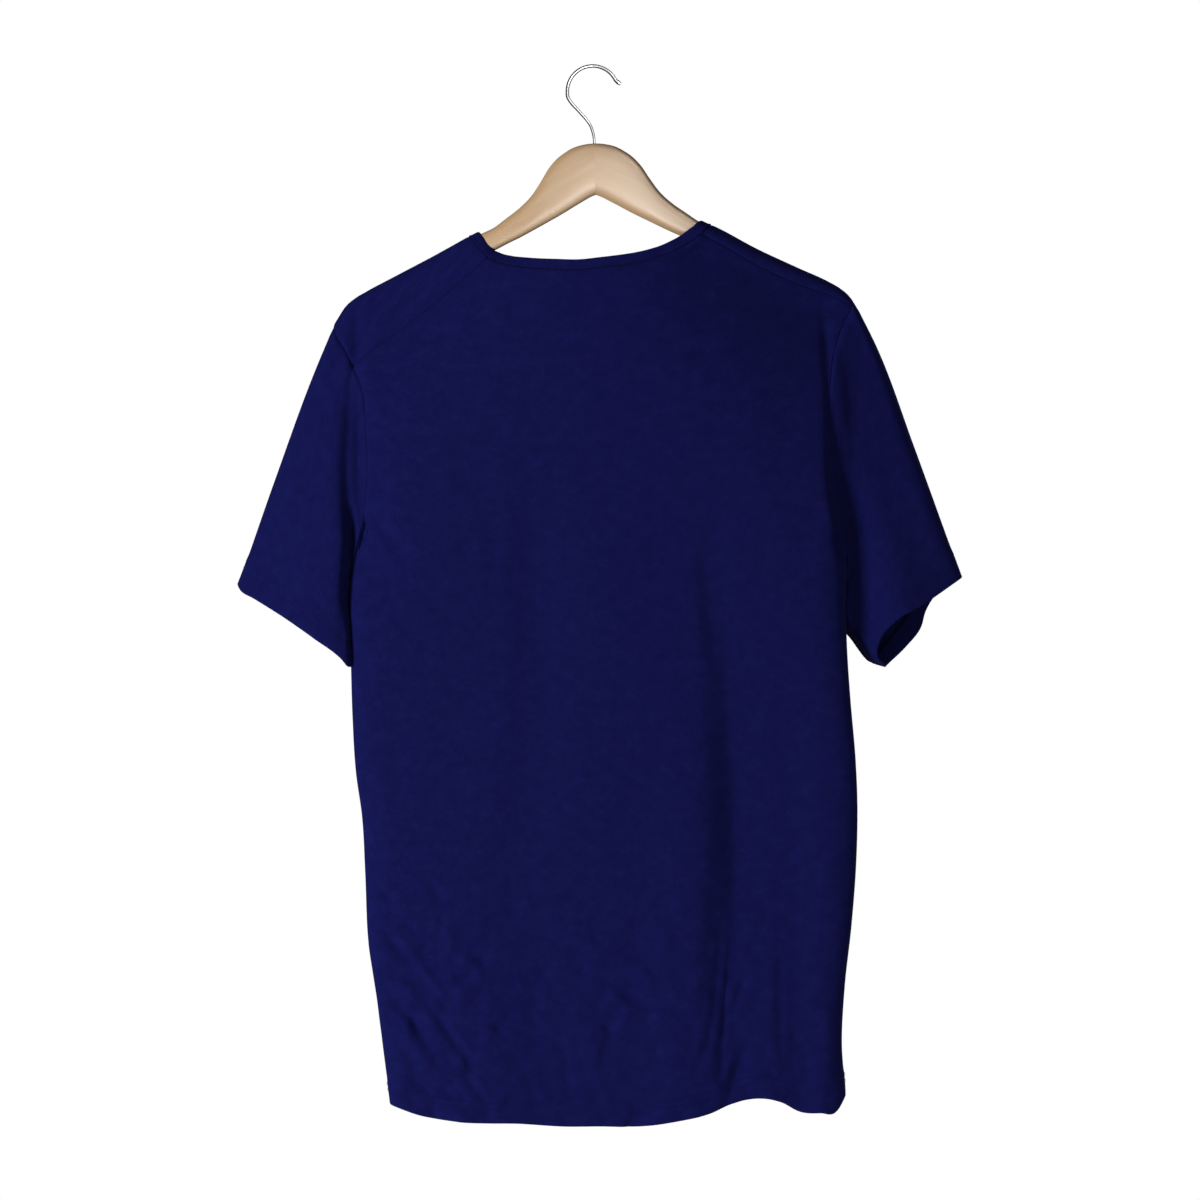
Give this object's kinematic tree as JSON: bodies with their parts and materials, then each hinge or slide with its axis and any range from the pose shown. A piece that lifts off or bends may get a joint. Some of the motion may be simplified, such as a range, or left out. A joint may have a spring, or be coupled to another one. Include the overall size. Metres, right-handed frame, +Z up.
{
  "type": "t-shirt on a hanger",
  "caption": "Plain short-sleeved crew-neck t-shirt in fine jersey, hanging on a contoured wooden hanger with a wire hook, its back towards -Y.",
  "frame": {"origin": "inside of the hanger hook's crown, where a rail carries it", "axes": "+Z up; -Y towards the garment's back, which is the pictured side, +Y towards its front; +X to the wearer's right"},
  "size_m": [0.654, 0.1012, 0.9537],
  "materials": {
    "jersey": "fine dark blue melange cotton jersey, matt",
    "lacquered_wood": "pale tan wood under clear gloss lacquer",
    "chrome": "polished plated wire"
  },
  "bodies": {
    "root": {"back_panel": "jersey", "front_panel": "jersey", "sleeve_left": "jersey", "sleeve_right": "jersey", "neckband": "jersey", "hanger_arm_left": "lacquered_wood", "hanger_arm_right": "lacquered_wood", "hanger_hook": "chrome"}
  },
  "joints": []
}
